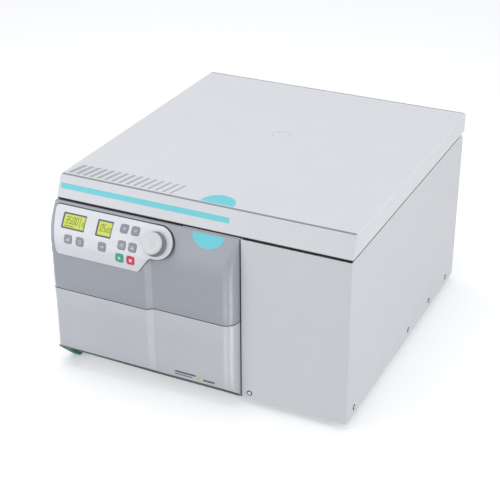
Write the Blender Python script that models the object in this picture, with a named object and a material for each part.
"""Benchtop laboratory centrifuge with a hinged lid and a four-place swing-out rotor.

Units are metres and +Z is up. The object faces -Y. The origin is on the bench, under the middle of
the overall box. FRONT is the plane of the cabinet's front sheet; most depths are counted from it.
"""
import math

import bmesh
import bpy
from mathutils import Matrix, Vector

# Cabinet
HALF_WIDTH = 0.3096
FRONT = -0.30689
BACK = FRONT + 0.6578
BODY_BOTTOM = 0.012
BODY_TOP = 0.3565
FRONT_TOP = 0.3580
SIDE_TOP = 0.3595
SHEET = 0.0015
GAP = 0.0003
NOTCH_Z = 0.3455
SEAM_X = 0.0912
JOGGLE = 0.004
SCREW_DEPTHS = (0.041, 0.352, 0.488, 0.606)

# Lid
LID_HALF_WIDTH = 0.310
LID_FRONT = FRONT + 0.0035
LID_BACK = BACK + 0.008
LID_BOTTOM = 0.3614
LID_TOP = 0.4043
LID_SLOPE = 0.0192
LINER_BOTTOM = 0.3635
HINGE = Vector((0.0, FRONT + 0.6470, 0.3540))
ARM_X = 0.2520

# Plastic front cover
COVER_LEFT = -0.310
COVER_RIGHT = 0.0885
RAISED_DEPTH = 0.039
LOW_DEPTH = 0.030
LEFT_RADIUS = 0.014
RIGHT_RADIUS = 0.026
STEP_X = -0.0880
STEP_WIDTH = 0.016
KNEE_Z = 0.280
COVER_TOP = 0.3575
COVER_SPLIT = 0.184
COVER_BACK = 0.0035
COVER_WALL = 0.003
TOE_SLOPE = 1.25

# Control panel: places are (x, z) on the panel's surface
PANEL_PROUD = 0.001
PANEL_PLATE = 0.0035
PANEL_TRAY = 0.012
KNOB_PLACE = (-0.0735, 0.3245)
KNOB_RADIUS = 0.024
KEY_SIZE = (0.0170, 0.0168)
KEY_PLACES = {
    "key_speed": (-0.2615, 0.2985),
    "key_force": (-0.2350, 0.2985),
    "key_time": (-0.1853, 0.2990),
    "key_accelerate": (-0.1445, 0.3375),
    "key_brake": (-0.1202, 0.3375),
    "key_program": (-0.1430, 0.3100),
    "key_lid": (-0.1195, 0.3100),
    "key_start": (-0.1457, 0.2855),
    "key_stop": (-0.1216, 0.2855),
}
DISPLAYS = [(-0.2553, 0.3305, 0.052, 0.0315), (-0.1868, 0.3305, 0.0345, 0.0325)]

# Rotor, bowl and motor, all about one upright axis
SPIN = Vector((0.0, FRONT + 0.3813, 0.0))
BOWL_RADIUS = 0.215
BOWL_FLOOR = 0.1605
RING_RADIUS = 0.225
RING_BOTTOM = 0.150
MOUNT_RADIUS = 0.092
PIVOT_RADIUS = 0.090
PIVOT_Z = 0.283
BUCKET_RADIUS = 0.047
TRUNNION_RADIUS = 0.005
SHAFT_RADIUS = 0.008

# Lid struts: places are relative to the hinge in the side view
STUD_REACH = 0.045
STUD_ANGLE = math.radians(225)
ANCHOR_OFFSET = Vector((0.0, -0.045, -0.280))
STRUT_X = 0.2625

# Lid latch
LATCH = Vector((0.0, FRONT + 0.048, 0.312))
STRIKER_X = 0.140

# Rear fittings
FAN = Vector((-0.170, BACK, 0.190))
INLET = Vector((0.186, BACK, 0.0575))
ROCKER_TILT = math.radians(10)

FINISHES = {
    "white_paint": ((0.78, 0.79, 0.81), 0.42, 0.0),
    "zinc_steel": ((0.60, 0.61, 0.62), 0.38, 0.9),
    "stainless": ((0.70, 0.70, 0.71), 0.25, 1.0),
    "aluminium": ((0.74, 0.75, 0.76), 0.35, 1.0),
    "steel": ((0.50, 0.51, 0.53), 0.30, 1.0),
    "cast_alloy": ((0.42, 0.43, 0.45), 0.55, 0.8),
    "copper_core": ((0.45, 0.26, 0.16), 0.45, 0.8),
    "dark_plastic": ((0.37, 0.38, 0.43), 0.45, 0.0),
    "light_plastic": ((0.54, 0.56, 0.60), 0.45, 0.0),
    "panel_white": ((0.80, 0.81, 0.84), 0.40, 0.0),
    "key_grey": ((0.33, 0.34, 0.38), 0.50, 0.0),
    "key_green": ((0.06, 0.40, 0.25), 0.45, 0.0),
    "key_red": ((0.72, 0.05, 0.08), 0.45, 0.0),
    "display_lime": ((0.58, 0.72, 0.08), 0.20, 0.0),
    "black_rubber": ((0.02, 0.02, 0.02), 0.75, 0.0),
    "green_rubber": ((0.01, 0.20, 0.12), 0.65, 0.0),
    "black_plastic": ((0.03, 0.03, 0.03), 0.50, 0.0),
    "board_green": ((0.03, 0.18, 0.08), 0.50, 0.0),
    "clear_acrylic": ((0.75, 0.78, 0.80), 0.08, 0.0),
}


# ---- modelling helpers ----

def clear_scene():
    for obj in list(bpy.data.objects):
        bpy.data.objects.remove(obj, do_unlink=True)


def add_object(name, bm):
    bmesh.ops.recalc_face_normals(bm, faces=bm.faces)
    mesh = bpy.data.meshes.new(name)
    bm.to_mesh(mesh)
    bm.free()
    obj = bpy.data.objects.new(name, mesh)
    bpy.context.collection.objects.link(obj)
    return obj


def skin(name, rings, wrap=False):
    """A closed solid through rings of equally many points; wrap joins the last ring to the first."""
    bm = bmesh.new()
    loops = [[bm.verts.new(point) for point in ring] for ring in rings]
    pairs = list(zip(loops, loops[1:]))
    if wrap:
        pairs.append((loops[-1], loops[0]))
    else:
        bm.faces.new(loops[0])
        bm.faces.new(loops[-1])
    for first, second in pairs:
        for i in range(len(first)):
            j = (i + 1) % len(first)
            bm.faces.new((first[i], first[j], second[j], second[i]))
    return add_object(name, bm)


def box(name, low, high):
    corners = [(low[0], low[1]), (high[0], low[1]), (high[0], high[1]), (low[0], high[1])]
    return prism(name, corners, "z", low[2], high[2])


def prism(name, outline, axis, start, end):
    """An outline in the plane across an axis, extruded along that axis."""
    order = {
        "x": lambda p, d: (d, p[0], p[1]),
        "y": lambda p, d: (p[0], d, p[1]),
        "z": lambda p, d: (p[0], p[1], d),
    }[axis]
    return skin(name, [[order(point, depth) for point in outline] for depth in (start, end)])


def turned(name, profile, segments=24, ring=False, axis="z", centre=(0.0, 0.0, 0.0)):
    """A profile of (radius, height) turned about an axis; ring means a closed profile off the axis."""
    rings = []
    for radius, height in profile:
        circle = []
        for i in range(segments):
            angle = 2 * math.pi * i / segments
            across = (radius * math.cos(angle), radius * math.sin(angle))
            circle.append({"x": (height, *across), "y": (across[1], height, across[0]),
                           "z": (*across, height)}[axis])
        rings.append([Vector(point) + Vector(centre) for point in circle])
    return skin(name, rings, wrap=ring)


def rod(name, axis, centre, radius, start, end, segments=12):
    """A plain cylinder along an axis, from start to end on that axis."""
    middle = Vector(centre)
    middle["xyz".index(axis)] = 0.0
    return turned(name, [(radius, start), (radius, end)], segments, axis=axis, centre=middle)


def arc(centre, radius, first, last, steps):
    """Points on an arc, angles in degrees."""
    points = []
    for i in range(steps + 1):
        angle = math.radians(first + (last - first) * i / steps)
        points.append((centre[0] + radius * math.cos(angle), centre[1] + radius * math.sin(angle)))
    return points


def rounded_rectangle(half_x, half_y, radius, steps=2):
    points = []
    for i, (sx, sy) in enumerate([(1, 1), (-1, 1), (-1, -1), (1, -1)]):
        corner = (sx * (half_x - radius), sy * (half_y - radius))
        points += arc(corner, radius, 90 * i, 90 * i + 90, steps)
    return points


def bake(obj):
    """Keep the shape that the modifiers give, and remove them."""
    evaluated = obj.evaluated_get(bpy.context.evaluated_depsgraph_get())
    mesh = bpy.data.meshes.new_from_object(evaluated)
    obj.modifiers.clear()
    obj.data = mesh


def boolean(target, others, operation):
    bpy.context.view_layer.update()
    for other in others:
        modifier = target.modifiers.new(operation.lower(), "BOOLEAN")
        modifier.operation = operation
        modifier.object = other
    bake(target)
    for other in others:
        bpy.data.objects.remove(other, do_unlink=True)
    return target


def carve(target, *cutters):
    return boolean(target, cutters, "DIFFERENCE")


def fuse(target, *others):
    return boolean(target, others, "UNION")


def mirrored(obj):
    """A copy on the other side of the YZ plane."""
    bm = bmesh.new()
    bm.from_mesh(obj.data)
    bmesh.ops.scale(bm, vec=(-1, 1, 1), verts=bm.verts)
    return add_object(obj.name + "_mirrored", bm)


def both_sides(bridge, piece):
    """One solid: a piece, its mirror image, and the bridge that joins them."""
    return fuse(bridge, piece, mirrored(piece))


def set_origin(obj, point):
    """Move the object's origin to a point and leave its shape where it is."""
    obj.data.transform(Matrix.Translation(-Vector(point)))
    obj.location = point


def pose_mesh(obj, matrix):
    """Place a piece that was made about its own origin."""
    obj.matrix_world = matrix
    return obj


def finish(obj, kind, smooth=30):
    colour, roughness, metallic = FINISHES[kind]
    material = bpy.data.materials.new(obj.name + "_" + kind)
    material.use_nodes = True
    shader = material.node_tree.nodes["Principled BSDF"]
    shader.inputs["Base Color"].default_value = (*colour, 1.0)
    shader.inputs["Roughness"].default_value = roughness
    shader.inputs["Metallic"].default_value = metallic
    obj.data.materials.clear()
    obj.data.materials.append(material)
    obj.data.shade_smooth()
    obj.data.set_sharp_from_angle(angle=math.radians(smooth))
    return obj


def pivot(name, point):
    """An empty on a joint's axis, for a body of several pieces."""
    empty = bpy.data.objects.new(name, None)
    empty.location = point
    bpy.context.collection.objects.link(empty)
    return empty


def hang_on(empty, pieces):
    bpy.context.view_layer.update()
    for piece in pieces:
        piece.parent = empty
        piece.matrix_parent_inverse = empty.matrix_world.inverted()


# ---- cabinet ----

def base_pan():
    """Folded tray with the ring posts, the motor posts and the strut anchors welded to it."""
    pan = box("base_pan", (-0.3076, FRONT + 0.006, BODY_BOTTOM), (0.3076, BACK - 0.002, 0.032))
    floor = BODY_BOTTOM + SHEET
    inside = box("pan_inside", (-0.3061, FRONT + 0.0075, floor), (0.3061, BACK - 0.0035, 0.05))
    carve(pan, inside)
    sunk = floor - 0.0005
    posts = [box("post", (x - 0.011, y - 0.011, sunk), (x + 0.011, y + 0.011, RING_BOTTOM - GAP))
             for x, y in diagonal_places(RING_RADIUS)]
    posts += [turned("post", [(0.009, sunk), (0.009, 0.1160 - GAP)], 10, centre=(x, y, 0))
              for x, y in diagonal_places(MOUNT_RADIUS)]
    anchor = strut_anchor(sunk)
    finish(fuse(pan, *posts, anchor, mirrored(anchor)), "zinc_steel")


def strut_anchor(floor):
    """A bracket with the stud that a gas strut turns on."""
    place = HINGE + ANCHOR_OFFSET
    plate = box("plate", (0.2690, place.y - 0.012, floor), (0.2710, place.y + 0.012, place.z + 0.010))
    flange = box("flange", (0.2700, place.y - 0.012, floor), (0.2920, place.y + 0.012, floor + 0.0025))
    stud = rod("stud", "x", place, 0.0032, STRUT_X - 0.0045, 0.2700, 10)
    return fuse(plate, flange, stud)


def feet():
    """Three round feet, and a wedge under the toe of the front cover at the front left."""
    side = [(FRONT + 0.034, 0.0), (FRONT + 0.008, 0.0), (FRONT - 0.0360, 0.0424), (FRONT - 0.0355, 0.0430),
            (FRONT + 0.0030, BODY_BOTTOM - GAP), (FRONT + 0.034, BODY_BOTTOM - GAP)]
    finish(prism("foot_front_left", side, "x", -0.3040, -0.2870), "green_rubber")
    profile = [(0.0150, 0.0), (0.0175, 0.003), (0.0165, BODY_BOTTOM - GAP)]
    places = {"foot_rear_left": (-0.258, BACK - 0.050), "foot_front_right": (0.262, FRONT + 0.060),
              "foot_rear_right": (0.258, BACK - 0.050)}
    for name, (x, y) in places.items():
        finish(turned(name, profile, 16, centre=(x, y, 0.0)), "green_rubber")


def cabinet_wrap():
    inner = HALF_WIDTH - SHEET
    corner = (HALF_WIDTH - 0.003, FRONT + 0.003)
    outline = [(-HALF_WIDTH, BACK), (-HALF_WIDTH, FRONT + JOGGLE), (SEAM_X, FRONT + JOGGLE), (SEAM_X, FRONT)]
    outline += arc(corner, 0.003, 270, 360, 3)
    outline += [(HALF_WIDTH, BACK), (inner, BACK)]
    outline += arc(corner, SHEET, 360, 270, 3)
    outline += [(SEAM_X + SHEET, FRONT + SHEET), (SEAM_X + SHEET, FRONT + JOGGLE + SHEET)]
    outline += [(-inner, FRONT + JOGGLE + SHEET), (-inner, BACK)]
    wrap = prism("cabinet_wrap", outline, "z", BODY_BOTTOM, SIDE_TOP)
    front_top = box("front_top", (-0.32, FRONT - 0.01, FRONT_TOP), (0.32, FRONT + 0.006, 0.37))
    corner = [(BACK - 0.0095, 0.370), (BACK - 0.0095, 0.3590), (BACK - 0.0050, 0.3560), (BACK, NOTCH_Z),
              (BACK + 0.01, NOTCH_Z), (BACK + 0.01, 0.370)]
    notch = prism("notch", corner, "x", -0.32, 0.32)
    controls = box("controls", (-0.3045, FRONT - 0.01, 0.258), (-0.030, FRONT + 0.02, 0.37))
    holes = []
    for depth in SCREW_DEPTHS:
        holes.append(rod("hole", "x", (0, FRONT + depth, 0.028), 0.005, -0.32, -0.30, 10))
        holes.append(rod("hole", "x", (0, FRONT + depth, 0.028), 0.005, 0.30, 0.32, 10))
    holes.append(rod("hole", "y", (0.108, 0, 0.026), 0.005, FRONT - 0.01, FRONT + 0.005, 10))
    finish(carve(wrap, front_top, notch, controls, *holes), "white_paint")


def rear_panel():
    panel = box("rear_panel", (-0.3076, BACK - SHEET, BODY_BOTTOM), (0.3076, BACK, NOTCH_Z))
    cutters = []
    for step in range(-4, 5):
        half = math.sqrt(0.054 ** 2 - (0.012 * step) ** 2)
        z = FAN.z + 0.012 * step
        cutters.append(box("fan_slot", (FAN.x - half, BACK - 0.01, z - 0.003),
                           (FAN.x + half, BACK + 0.01, z + 0.003)))
    for step in range(7):
        x = 0.06 + 0.022 * step
        cutters.append(box("air_slot", (x - 0.004, BACK - 0.01, 0.13), (x + 0.004, BACK + 0.01, 0.25)))
    cutters.append(box("inlet_hole", (INLET.x - 0.030, BACK - 0.01, INLET.z - 0.013),
                       (INLET.x + 0.030, BACK + 0.01, INLET.z + 0.013)))
    finish(carve(panel, *cutters), "white_paint")


def top_deck():
    front, step, back = FRONT + 0.0065, BACK - 0.0225, BACK - 0.002
    thick = 0.002
    outline = [(front, BODY_TOP), (step, BODY_TOP), (step, NOTCH_Z), (back, NOTCH_Z),
               (back, NOTCH_Z - thick), (step - thick, NOTCH_Z - thick),
               (step - thick, BODY_TOP - thick), (front, BODY_TOP - thick)]
    deck = prism("top_deck", outline, "x", -0.3076, 0.3076)
    cutters = [turned("chamber", [(0.218, 0.33), (0.218, 0.38)], 48, centre=SPIN)]
    for side in (-1, 1):
        inner, outer = sorted((side * 0.2425, side * 0.2745))
        cutters.append(box("arm_slot", (inner, HINGE.y - 0.063, 0.33), (outer, BACK + 0.01, 0.37)))
        cutters.append(box("striker_slot", (side * STRIKER_X - 0.015, FRONT + 0.020, 0.34),
                           (side * STRIKER_X + 0.015, FRONT + 0.046, 0.37)))
    finish(carve(deck, *cutters), "white_paint")


def deck_edge_seal():
    seal = box("deck_edge_seal", (-0.3065, FRONT + 0.0058, BODY_TOP + GAP),
               (0.3065, FRONT + 0.0125, LID_BOTTOM - GAP))
    finish(seal, "black_rubber")


# ---- plastic front cover ----

def bulge(z):
    """How much of its full depth the front cover has at a height: all of it below the knee."""
    if z <= KNEE_Z:
        return 1.0
    return 1.0 - ((z - KNEE_Z) / (COVER_TOP - KNEE_Z)) ** 1.9


def cover_outline(scale, inset):
    """Plan outline of the front cover as (x, depth in front of FRONT), left to right."""
    left, right = COVER_LEFT + inset, COVER_RIGHT - inset
    raised, low = scale * RAISED_DEPTH - inset, scale * LOW_DEPTH - inset
    width = max(scale, 0.1)
    points = [(left, -COVER_BACK)]
    for i in range(5):
        angle = math.pi / 2 * i / 4
        radius = LEFT_RADIUS - inset
        points.append((left + radius * width * (1 - math.cos(angle)),
                       raised - radius * scale * (1 - math.sin(angle))))
    for i in range(6):
        part = i / 5
        ease = part * part * (3 - 2 * part)
        points.append((STEP_X + (part - 0.5) * STEP_WIDTH, raised + (low - raised) * ease))
    for i in range(7):
        angle = math.pi / 2 * (1 - i / 6)
        radius = RIGHT_RADIUS - inset
        points.append((right - radius * width * (1 - math.cos(angle)),
                       low - radius * scale * (1 - math.sin(angle))))
    points.append((right, -COVER_BACK))
    return points


def cover_ring(z, inset=0.0, back=None):
    points = cover_outline(bulge(z), inset)
    if back is not None:
        points[0] = (points[0][0], -back)
        points[-1] = (points[-1][0], -back)
    return [(x, FRONT - depth, z) for x, depth in points]


def toe_ring(inset=0.0, back=None):
    """The lower cover's bottom edge, which lies on a plane that slopes back under the toe."""
    ring = []
    for x, y, _ in cover_ring(BODY_BOTTOM, inset, back):
        depth = FRONT - y
        rise = max(depth + COVER_BACK, 0.0) / TOE_SLOPE
        ring.append((x, y, BODY_BOTTOM + rise + 1.4 * inset))
    return ring


def front_fascia():
    steps = 8
    heights = [COVER_SPLIT + GAP] + [KNEE_Z + (COVER_TOP - KNEE_Z) * i / steps for i in range(steps + 1)]
    fascia = skin("front_fascia", [cover_ring(z) for z in heights])
    top = COVER_TOP - COVER_WALL
    inner_heights = [COVER_SPLIT - 0.01] + [KNEE_Z + (top - KNEE_Z) * i / steps for i in range(steps + 1)]
    inside = skin("fascia_inside", [cover_ring(z, COVER_WALL, 0.02) for z in inner_heights])
    window = prism("panel_window", panel_outline(-0.0004), "y", FRONT - 0.06, FRONT + 0.03)
    finish(carve(fascia, inside, window), "dark_plastic", 20)


def front_lower_panel():
    panel = skin("front_lower_panel", [toe_ring(), cover_ring(COVER_SPLIT - GAP)])
    inside = skin("lower_inside", [toe_ring(COVER_WALL, 0.02), cover_ring(COVER_SPLIT + 0.01, COVER_WALL, 0.02)])
    finish(carve(panel, inside), "light_plastic", 20)


# ---- control panel ----

def panel_depth(z):
    """Depth of the control panel's surface in front of FRONT."""
    return bulge(z) * RAISED_DEPTH + PANEL_PROUD


def panel_frame(x, z):
    """A frame on the panel's surface: local Z is the outward normal and local Y runs up the panel."""
    span = 0.001
    slope = (panel_depth(z - span) - panel_depth(z + span)) / (2 * span)
    up = Vector((0.0, slope, 1.0)).normalized()
    right = Vector((1.0, 0.0, 0.0))
    normal = right.cross(up)
    place = Vector((x, FRONT - panel_depth(z), z))
    return Matrix.Translation(place) @ Matrix((right, up, normal)).transposed().to_4x4()


def panel_outline(inset):
    """The panel's outline in (x, z): a plate with a slanted left edge and a round end for the knob."""
    top_left, low_left, top, bottom = -0.3025 + inset, -0.2895 + inset, 0.353 - inset, 0.2645 + inset
    middle = (-0.0725, 0.3255)
    points = arc((top_left + 0.0060, top - 0.0055), 0.0055, 188, 90, 4)
    for i in range(15):
        angle = math.radians(90 - 190 * i / 14)
        points.append((middle[0] + (0.0340 - inset) * math.cos(angle),
                       middle[1] + (0.0275 - inset) * math.sin(angle)))
    points += [(-0.0845 - 0.4 * inset, 0.2945 + inset), (-0.0895 - 0.7 * inset, 0.2880 + 0.7 * inset)]
    points += arc((-0.1115, 0.2755), 0.0110 - inset, -25, -90, 4)
    points += arc((low_left + 0.0075, bottom + 0.0080), 0.0080, 270, 188, 4)
    return points


def panel_slab(name, front, back, inset):
    """The outline's solid between two surfaces that follow the panel's curve."""
    steps = 8
    heights = [0.250] + [KNEE_Z + (0.3555 - KNEE_Z) * i / steps for i in range(steps + 1)]
    outer = [(FRONT - bulge(z) * RAISED_DEPTH - front, z) for z in heights]
    inner = [(FRONT - bulge(z) * RAISED_DEPTH - back, z) for z in reversed(heights)]
    slab = prism(name, outer + inner, "x", -0.33, 0.0)
    plate = prism("plate", panel_outline(inset), "y", FRONT - 0.07, FRONT + 0.04)
    return boolean(slab, [plate], "INTERSECT")


def panel_cutter(half_x, half_y, radius, place, low, high):
    outline = rounded_rectangle(half_x, half_y, radius)
    cutter = prism("cutter", outline, "z", low, high)
    return pose_mesh(cutter, panel_frame(*place))


def control_panel():
    panel = panel_slab("control_panel", PANEL_PROUD, PANEL_PROUD - PANEL_TRAY, 0.0)
    pocket = panel_slab("pocket", PANEL_PROUD - PANEL_PLATE, PANEL_PROUD - 0.03, 0.003)
    cutters = [pocket]
    for x, z, width, height in DISPLAYS:
        cutters.append(panel_cutter(width / 2, height / 2, 0.001, (x, z), -0.02, 0.01))
    for place in KEY_PLACES.values():
        cutters.append(panel_cutter(KEY_SIZE[0] / 2 + 0.0004, KEY_SIZE[1] / 2 + 0.0004, 0.0044, place,
                                    -0.02, 0.01))
    hole = pose_mesh(turned("knob_hole", [(0.0042, -0.02), (0.0042, 0.01)], 12), panel_frame(*KNOB_PLACE))
    cutters.append(hole)
    finish(carve(panel, *cutters), "panel_white", 20)


def display_module():
    """Both displays on the carrier board that joins them behind the panel."""
    (first, z, width, height), (second, _, second_width, _) = DISPLAYS
    half = (second + second_width / 2 - first + width / 2) / 2
    carrier = prism("display_module", rounded_rectangle(half, height / 2, 0.002), "z", -0.0115, -0.0092)
    pose_mesh(carrier, panel_frame(first - width / 2 + half, z))
    modules = []
    for x, z, width, height in DISPLAYS:
        outline = rounded_rectangle(width / 2 - 0.0004, height / 2 - 0.0004, 0.0007, 1)
        modules.append(pose_mesh(prism("display", outline, "z", -0.0098, -0.0022), panel_frame(x, z)))
    finish(fuse(carrier, *modules), "display_lime")


def keys():
    half_x, half_y = KEY_SIZE[0] / 2, KEY_SIZE[1] / 2
    for name, place in KEY_PLACES.items():
        levels = [(0.0, -0.0070), (0.0, 0.0010), (0.0006, 0.0016)]
        rings = []
        for inset, height in levels:
            outline = rounded_rectangle(half_x - inset, half_y - inset, 0.004 - inset)
            rings.append([(x, y, height) for x, y in outline])
        key = pose_mesh(skin(name, rings), panel_frame(*place))
        finish(key, {"key_start": "key_green", "key_stop": "key_red"}.get(name, "key_grey"))


def control_knob():
    profile = [(0.0032, -0.0105), (0.0032, 0.0006), (KNOB_RADIUS - 0.0005, 0.0006), (KNOB_RADIUS, 0.0030),
               (0.0212, 0.0172), (0.0196, 0.0190)]
    knob = pose_mesh(turned("control_knob", profile, 32), panel_frame(*KNOB_PLACE))
    finish(knob, "panel_white")


def control_board():
    y = FRONT + 0.014
    board = box("control_board", (-0.285, y, 0.262), (-0.045, y + 0.0016, 0.345))
    parts = []
    for x, z, width, height, depth in [(-0.25, 0.285, 0.03, 0.02, 0.008), (-0.19, 0.29, 0.018, 0.018, 0.003),
                                       (-0.13, 0.28, 0.04, 0.012, 0.008), (-0.07, 0.32, 0.014, 0.014, 0.006)]:
        parts.append(box("chip", (x - width / 2, y - depth, z - height / 2),
                         (x + width / 2, y + 0.0008, z + height / 2)))
    finish(fuse(board, *parts), "board_green")


# ---- chamber ----

def chamber_bowl():
    wall, corner = SHEET, 0.009
    profile = [(0.034, BOWL_FLOOR - wall), (BOWL_RADIUS + wall - corner, BOWL_FLOOR - wall),
               (BOWL_RADIUS + wall, BOWL_FLOOR + corner - wall), (BOWL_RADIUS + wall, BODY_TOP + GAP),
               (0.232, BODY_TOP + GAP), (0.232, BODY_TOP + GAP + wall), (BOWL_RADIUS, BODY_TOP + GAP + wall),
               (BOWL_RADIUS, BOWL_FLOOR + corner), (BOWL_RADIUS - corner, BOWL_FLOOR), (0.034, BOWL_FLOOR)]
    finish(turned("chamber_bowl", profile, 40, ring=True, centre=SPIN), "stainless")


def bowl_gasket():
    base = BODY_TOP + GAP + SHEET + GAP
    profile = [(0.2170, base), (0.2290, base), (0.2270, base + 0.0030),
               (0.2230, LINER_BOTTOM - GAP), (0.2190, base + 0.0030)]
    finish(turned("bowl_gasket", profile, 36, ring=True, centre=SPIN), "black_rubber")


def containment_ring():
    profile = [(0.2215, RING_BOTTOM), (0.2285, RING_BOTTOM), (0.2285, 0.350), (0.2215, 0.350)]
    finish(turned("containment_ring", profile, 36, ring=True, centre=SPIN), "steel")


def diagonal_places(radius):
    reach = radius / math.sqrt(2)
    return [(SPIN.x + sx * reach, SPIN.y + sy * reach) for sx in (-1, 1) for sy in (-1, 1)]


def vibration_mount():
    """A rubber ring on four feet, between the motor posts and the motor plate."""
    low, high = 0.1400, 0.1478 - GAP
    inner, outer = MOUNT_RADIUS - 0.009, MOUNT_RADIUS + 0.009
    ring = turned("vibration_mount", [(inner, low), (outer, low), (outer, high), (inner, high)], 24, ring=True,
                  centre=SPIN)
    profile = [(0.0125, 0.1160), (0.0110, 0.1300), (0.0115, 0.1440)]
    cushions = [turned("cushion", profile, 12, centre=(x, y, 0)) for x, y in diagonal_places(MOUNT_RADIUS)]
    finish(fuse(ring, *cushions), "black_rubber")


# ---- motor ----

def motor_plate():
    profile = [(0.030, 0.1478), (0.108, 0.1478), (0.108, 0.1528), (0.030, 0.1528)]
    finish(turned("motor_plate", profile, 32, ring=True, centre=SPIN), "cast_alloy")


def motor_housing():
    profile = [(0.070, 0.030), (0.070, 0.1475), (0.0625, 0.1475), (0.0625, 0.036)]
    finish(turned("motor_housing", profile, 32, centre=SPIN), "cast_alloy")


def motor_stator():
    profile = [(0.0470, 0.052), (0.0620, 0.052), (0.0620, 0.124), (0.0470, 0.124)]
    finish(turned("motor_stator", profile, 28, ring=True, centre=SPIN), "copper_core")


def shaft_bearings():
    for name, low in (("lower_bearing", 0.0370), ("upper_bearing", 0.1285)):
        high = low + 0.012
        profile = [(0.0086, low), (0.0160, low), (0.0160, high), (0.0086, high)]
        finish(turned(name, profile, 20, ring=True, centre=SPIN), "steel")


def shaft_boot():
    profile = [(0.0300, 0.1531), (0.0332, 0.1531), (0.0325, 0.1700), (0.0185, 0.2150),
               (0.0120, 0.2150), (0.0120, 0.2120), (0.0160, 0.2120), (0.0300, 0.1680)]
    finish(turned("shaft_boot", profile, 24, ring=True, centre=SPIN), "black_rubber")


# ---- rotor ----

def drive_shaft():
    profile = [(SHAFT_RADIUS, 0.0368), (SHAFT_RADIUS, 0.0560), (0.0455, 0.0560), (0.0455, 0.1200),
               (SHAFT_RADIUS, 0.1200), (SHAFT_RADIUS, 0.2500), (0.0100, 0.2520), (0.0100, 0.2610),
               (0.0076, 0.2615), (0.0070, 0.3010)]
    return finish(turned("drive_shaft", profile, 20, centre=SPIN), "steel")


def rotor_head():
    """A hub with four arms on the diagonals, each ending in a block with two trunnion pins."""
    hub = [(0.0086, 0.2620), (0.0240, 0.2620), (0.0340, 0.2680), (0.0340, 0.2980), (0.0260, 0.3020),
           (0.0086, 0.3020)]
    head = turned("rotor_head", hub, 28, ring=True)
    near, far, chamfer = 0.0565, 0.0995, 0.084
    side = 0.009 * math.sqrt(2)
    arm = [(0.0130 + side, 0.0130), (near + side, near), (far, near), (far, chamfer), (chamfer, far),
           (near, far), (near, near + side), (0.0130, 0.0130 + side)]
    parts = []
    for quarter in range(4):
        turn = Matrix.Rotation(math.pi / 2 * quarter, 4, "Z")
        parts.append(pose_mesh(prism("arm", arm, "z", 0.2690, 0.2970), turn))
        for place, axis in (((PIVOT_RADIUS, 0.0, PIVOT_Z), "y"), ((0.0, PIVOT_RADIUS, PIVOT_Z), "x")):
            pin = rod("trunnion", axis, place, TRUNNION_RADIUS, 0.0493, near + 0.006, 10)
            parts.append(pose_mesh(pin, turn))
    head = fuse(head, *parts)
    set_origin(head, (0, 0, 0))
    head.location = SPIN
    return finish(head, "aluminium")


def rotor_nut():
    profile = [(0.0160, 0.3023), (0.0160, 0.3070), (0.0120, 0.3090), (0.0105, 0.3180)]
    return finish(turned("rotor_nut", profile, 16, centre=SPIN), "stainless")


def lug_outline():
    """A round lug with a slot for the trunnion that is open at the bottom, in (x, z)."""
    slot = TRUNNION_RADIUS + GAP
    start = math.degrees(math.acos(slot / 0.013))
    return arc((0, 0), 0.013, -start, 180 + start, 10) + arc((0, 0), slot, 180, 0, 6)


def bucket(name, turn_angle):
    radius = BUCKET_RADIUS
    profile = [(0.0360, -0.1030), (0.0440, -0.0995), (radius, -0.0900), (radius, 0.0220),
               (radius - 0.004, 0.0220), (radius - 0.004, -0.0880), (0.0410, -0.0960), (0.0340, -0.0985)]
    cup = turned(name, profile, 20)
    parts = []
    for low, high in ((0.0440, 0.0545), (-0.0545, -0.0440)):
        outline = lug_outline()
        parts.append(prism("lug", outline, "y", low, high))
    fuse(cup, *parts)
    turn = Matrix.Rotation(turn_angle, 4, "Z")
    cup.matrix_world = Matrix.Translation(SPIN) @ turn @ Matrix.Translation((PIVOT_RADIUS, 0, PIVOT_Z))
    return finish(cup, "stainless")


# ---- lid ----

def lid_cover():
    outline = [(LID_FRONT, LID_BOTTOM), (LID_BACK, LID_BOTTOM), (LID_BACK, LID_TOP),
               (LID_FRONT + LID_SLOPE, LID_TOP)]
    cover = prism("lid_cover", outline, "x", -LID_HALF_WIDTH, LID_HALF_WIDTH)
    bm = bmesh.new()
    bm.from_mesh(cover.data)
    upper = [edge for edge in bm.edges if max(vert.co.z for vert in edge.verts) > LID_BOTTOM + 0.001]
    bmesh.ops.bevel(bm, geom=upper, offset=0.003, segments=2, profile=0.5, affect="EDGES")
    bm.to_mesh(cover.data)
    bm.free()
    slope = LID_SLOPE / (LID_TOP - LID_BOTTOM)
    top, low, wall = LID_TOP - 0.002, 0.350, 0.0020
    inner_front = LID_FRONT + wall - slope * (LID_BOTTOM - low)
    inside = [(inner_front, low), (LID_BACK - wall, low), (LID_BACK - wall, top),
              (inner_front + slope * (top - low), top)]
    hollow = prism("hollow", inside, "x", wall - LID_HALF_WIDTH, LID_HALF_WIDTH - wall)
    hole = turned("hole", [(0.0222, 0.39), (0.0222, 0.42)], 28, centre=SPIN)
    return finish(carve(cover, hollow, hole), "white_paint", 40)


def lid_liner():
    front, back, half = FRONT + 0.0150, LID_BACK - 0.0045, 0.3060
    liner = box("lid_liner", (-half, front, LINER_BOTTOM), (half, back, 0.3750))
    inside = box("inside", (SHEET - half, front + SHEET, LINER_BOTTOM + SHEET),
                 (half - SHEET, back - SHEET, 0.39))
    hole = turned("hole", [(0.0222, 0.35), (0.0222, 0.38)], 28, centre=SPIN)
    slots = [box("slot", (side * ARM_X - 0.0035, HINGE.y - 0.063, 0.35),
                 (side * ARM_X + 0.0035, HINGE.y + 0.0095, 0.368)) for side in (-1, 1)]
    return finish(carve(liner, inside, hole, *slots), "white_paint")


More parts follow.
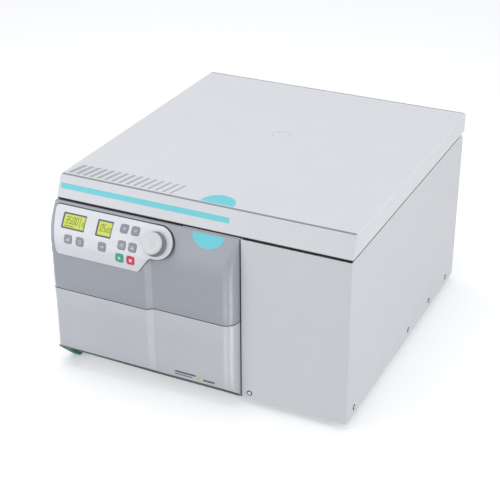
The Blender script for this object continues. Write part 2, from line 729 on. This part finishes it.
def viewport_window():
    profile = [(0.0218, 0.3640), (0.0218, 0.3990), (0.0200, LID_TOP - GAP)]
    return finish(turned("viewport_window", profile, 28, centre=SPIN), "clear_acrylic")


def lid_striker():
    y = FRONT + 0.030
    plate = box("striker", (STRIKER_X - 0.012, y - 0.0015, 0.3150), (STRIKER_X + 0.012, y + 0.0015, 0.3620))
    flange = box("flange", (STRIKER_X - 0.013, y - 0.0075, 0.3602),
                 (STRIKER_X + 0.013, y + 0.0075, LINER_BOTTOM - GAP))
    window = box("window", (STRIKER_X - 0.008, y - 0.01, 0.3210), (STRIKER_X + 0.008, y + 0.01, 0.3400))
    strip = box("lid_striker", (-STRIKER_X, y - 0.0075, 0.3602), (STRIKER_X, y + 0.0075, LINER_BOTTOM - GAP))
    return finish(both_sides(strip, carve(fuse(plate, flange), window)), "zinc_steel")


def stud_place(angle=STUD_ANGLE):
    """The strut's stud, relative to the hinge in the side view."""
    return Vector((0.0, STUD_REACH * math.cos(angle), STUD_REACH * math.sin(angle)))


def lid_arms():
    """Two hinge arms with strut studs, joined by the cross bar that is bolted inside the lid."""
    stud = stud_place()
    outline = arc((0, 0), 0.0075, -70, 20, 3) + [(0.0065, 0.0440), (-0.0600, 0.0440), (-0.0600, 0.0130)]
    outline += arc((stud.y, stud.z), 0.0080, 170, 320, 5)
    outline = [(HINGE.y + y, HINGE.z + z) for y, z in outline]
    arm = prism("arm", outline, "x", ARM_X - 0.002, ARM_X + 0.002)
    hole = rod("hole", "x", HINGE, 0.0034, 0.24, 0.27, 12)
    boss = rod("boss", "x", HINGE + stud, 0.0035, ARM_X - 0.001, STRUT_X - 0.0043, 10)
    arm = fuse(carve(arm, hole), boss)
    bar = box("lid_arms", (-ARM_X, HINGE.y - 0.052, HINGE.z + 0.030), (ARM_X, HINGE.y - 0.030, HINGE.z + 0.040))
    return finish(both_sides(bar, arm), "zinc_steel")


def hinge_brackets():
    outline = [(-0.0040, -0.0360), (0.0088, -0.0360), (0.0088, -0.0030)]
    outline += arc((0, 0), 0.0072, -15, 195, 7) + [(-0.0040, -0.0100)]
    outline = [(HINGE.y + y, HINGE.z + z) for y, z in outline]
    bracket = prism("bracket", outline, "x", ARM_X - 0.008, ARM_X + 0.008)
    fork = box("fork", (ARM_X - 0.0027, HINGE.y - 0.02, HINGE.z - 0.0165),
               (ARM_X + 0.0027, HINGE.y + 0.02, HINGE.z + 0.02))
    hole = rod("hole", "x", HINGE, 0.0034, 0.23, 0.27, 12)
    rail = box("hinge_brackets", (-ARM_X, HINGE.y + 0.0028, HINGE.z - 0.0340),
               (ARM_X, HINGE.y + 0.0082, HINGE.z - 0.0180))
    finish(both_sides(rail, carve(bracket, fork, hole)), "zinc_steel")


def hinge_rod():
    """One long pin through both brackets and both lid arms, with a head at each end."""
    end = ARM_X + 0.0083
    profile = [(0.0030, 0.0), (0.0030, end), (0.0050, end), (0.0050, end + 0.0012)]
    profile = [(radius, -x) for radius, x in reversed(profile[1:])] + profile[1:]
    finish(turned("hinge_rod", profile, 12, axis="x", centre=(0, HINGE.y, HINGE.z)), "stainless")


# ---- gas struts ----

def strut_frame(side):
    """Origin on the lower pivot; local Z points at the stud on the lid arm."""
    anchor = HINGE + ANCHOR_OFFSET
    stud = HINGE + stud_place()
    up = (stud - anchor).normalized()
    right = Vector((1.0, 0.0, 0.0))
    forward = up.cross(right)
    turn = Matrix((right, forward, up)).transposed().to_4x4()
    return Matrix.Translation((side * STRUT_X, anchor.y, anchor.z)) @ turn


def strut_length():
    return (stud_place() - ANCHOR_OFFSET).length


def strut_cylinder(name, side):
    profile = [(0.0050, 0.0060), (0.0050, 0.0120), (0.0105, 0.0140), (0.0105, 0.1760), (0.0095, 0.1780),
               (0.0044, 0.1780), (0.0044, 0.0220)]
    tube = turned(name, profile, 14)
    eye = turned("eye", [(0.0036, -0.004), (0.0076, -0.004), (0.0076, 0.004), (0.0036, 0.004)], 14,
                 ring=True, axis="x")
    fuse(tube, eye)
    pose_mesh(tube, strut_frame(side))
    finish(tube, "black_plastic")


def strut_rod(name, side):
    length = strut_length()
    bar = turned(name, [(0.0040, 0.0280), (0.0040, length - 0.004)], 12)
    socket = rod("socket", "x", (0, 0, length), 0.0070, -0.004, 0.004, 14)
    fuse(bar, socket)
    pose_mesh(bar, strut_frame(side))
    finish(bar, "stainless")


# ---- latch ----

def latch_shaft():
    shaft = rod("latch_shaft", "x", (0, 0, 0), 0.0050, -0.150, 0.180, 12)
    hook = [(-0.0075, -0.0060), (0.0075, -0.0060), (0.0075, 0.0220), (0.0030, 0.0290), (-0.0110, 0.0290),
            (-0.0125, 0.0240), (-0.0110, 0.0210), (-0.0030, 0.0210), (-0.0060, 0.0070)]
    hooks = [prism("hook", hook, "x", x - 0.0025, x + 0.0025) for x in (-STRIKER_X, STRIKER_X)]
    fuse(shaft, *hooks)
    shaft.location = LATCH
    finish(shaft, "steel")


def latch_bracket():
    """A strip under the deck with two plates that carry the latch shaft."""
    top = BODY_TOP - 0.002 - GAP
    strip = box("latch_bracket", (-0.1220, LATCH.y - 0.014, top - 0.0025), (0.1220, LATCH.y + 0.014, top))
    plate = box("plate", (0.1135, LATCH.y - 0.013, LATCH.z - 0.012), (0.1165, LATCH.y + 0.013, top - 0.0010))
    hole = rod("hole", "x", LATCH, 0.0054, 0.10, 0.13, 12)
    finish(both_sides(strip, carve(plate, hole)), "zinc_steel")


def latch_motor():
    body = box("latch_motor", (0.160, LATCH.y - 0.020, LATCH.z - 0.020), (0.215, LATCH.y + 0.020, LATCH.z + 0.020))
    bore = rod("bore", "x", LATCH, 0.0054, 0.150, 0.184, 12)
    finish(carve(body, bore), "cast_alloy")


# ---- rear and inner electrics ----

def fan_frame():
    back = BACK - SHEET - GAP
    frame = box("fan_frame", (FAN.x - 0.0595, back - 0.025, FAN.z - 0.0595), (FAN.x + 0.0595, back, FAN.z + 0.0595))
    duct = rod("duct", "y", FAN, 0.0565, back - 0.03, back + 0.01, 32)
    hub = rod("hub", "y", FAN, 0.021, back - 0.025, back - 0.0225, 16)
    bars = [box("bar", (FAN.x - 0.0575, back - 0.025, FAN.z - 0.002), (FAN.x + 0.0575, back - 0.0225, FAN.z + 0.002)),
            box("bar", (FAN.x - 0.002, back - 0.025, FAN.z - 0.0575), (FAN.x + 0.002, back - 0.0225, FAN.z + 0.0575))]
    finish(fuse(carve(frame, duct), hub, *bars), "black_plastic")


def fan_rotor():
    hub = rod("fan_rotor", "y", (0, 0, 0), 0.019, -0.0210, -0.0030, 16)
    blades = []
    for i in range(7):
        blade = box("blade", (-0.0009, -0.0190, 0.015), (0.0009, -0.0050, 0.053))
        lean = Matrix.Rotation(2 * math.pi * i / 7, 4, "Y") @ Matrix.Translation((0, -0.012, 0))
        lean = lean @ Matrix.Rotation(math.radians(40), 4, "Z") @ Matrix.Translation((0, 0.012, 0))
        blades.append(pose_mesh(blade, lean))
    fuse(hub, *blades)
    hub.location = FAN - Vector((0, SHEET, 0))
    finish(hub, "black_plastic")


def power_entry():
    outside = BACK + GAP
    body = box("power_entry", (INLET.x - 0.0296, BACK - 0.040, INLET.z - 0.0126),
               (INLET.x + 0.0296, BACK + 0.0022, INLET.z + 0.0126))
    flange = box("flange", (INLET.x - 0.036, outside, INLET.z - 0.018), (INLET.x + 0.036, BACK + 0.0026, INLET.z + 0.018))
    socket = box("socket", (INLET.x + 0.001, BACK - 0.020, INLET.z - 0.0085), (INLET.x + 0.0265, BACK + 0.01, INLET.z + 0.0085))
    switch = box("switch", (INLET.x - 0.0265, BACK - 0.014, INLET.z - 0.0110), (INLET.x - 0.0095, BACK + 0.01, INLET.z + 0.0110))
    carve(fuse(body, flange), socket, switch)
    blades = [box("contact", (INLET.x + x - 0.001, BACK - 0.0205, INLET.z + z - 0.002),
                  (INLET.x + x + 0.001, BACK - 0.005, INLET.z + z + 0.002))
              for x, z in ((0.0070, -0.002), (0.0137, 0.002), (0.0205, -0.002))]
    finish(fuse(body, *blades), "black_plastic")


def mains_rocker():
    """A two-sided rocker about a level pin; its upper half is pressed in at rest."""
    outline = [(-0.0070, -0.0080), (-0.0070, 0.0080), (0.0012, 0.0095), (-0.0006, 0.0), (0.0012, -0.0095)]
    rocker = prism("mains_rocker", outline, "x", -0.0078, 0.0078)
    rocker.data.transform(Matrix.Rotation(ROCKER_TILT, 4, "X"))
    rocker.location = (INLET.x - 0.018, BACK - 0.003, INLET.z)
    finish(rocker, "black_plastic")


def drive_inverter():
    low, fins_from, top = 0.040, 0.090, 0.125
    start, end = -0.285, -0.135
    count = 10
    pitch = (end - start) / (count + 0.5)
    outline = [(start, low), (end, low)]
    for i in reversed(range(count)):
        right = start + pitch * (i + 1)
        left = right - pitch * 0.5
        outline += [(right, fins_from), (right, top), (left, top), (left, fins_from)]
    outline.insert(2, (end, fins_from))
    outline.append((start, fins_from))
    block = prism("drive_inverter", outline, "y", FRONT + 0.035, FRONT + 0.115)
    legs = [box("leg", (x - 0.004, y - 0.004, BODY_BOTTOM + SHEET + GAP), (x + 0.004, y + 0.004, low + 0.002))
            for x in (start + 0.008, end - 0.008) for y in (FRONT + 0.043, FRONT + 0.107)]
    finish(fuse(block, *legs), "aluminium")


def build():
    clear_scene()
    for make in (base_pan, feet, cabinet_wrap, rear_panel, top_deck, deck_edge_seal,
                 front_fascia, front_lower_panel, control_panel, display_module, keys, control_knob,
                 control_board, chamber_bowl, bowl_gasket, containment_ring, vibration_mount,
                 motor_plate, motor_housing, motor_stator, shaft_bearings, shaft_boot,
                 hinge_brackets, hinge_rod, latch_shaft, latch_bracket, latch_motor,
                 fan_frame, fan_rotor, power_entry, mains_rocker, drive_inverter):
        make()
    for name, side in (("left", -1), ("right", 1)):
        strut_cylinder("strut_cylinder_" + name, side)
        strut_rod("strut_rod_" + name, side)
    buckets = [bucket(f"bucket_{i + 1}", math.pi / 2 * i) for i in range(4)]
    hang_on(pivot("rotor_axis", SPIN), [drive_shaft(), rotor_head(), rotor_nut()] + buckets)
    lid = [lid_cover(), lid_liner(), viewport_window(), lid_striker(), lid_arms()]
    hang_on(pivot("lid_axis", HINGE), lid)


build()
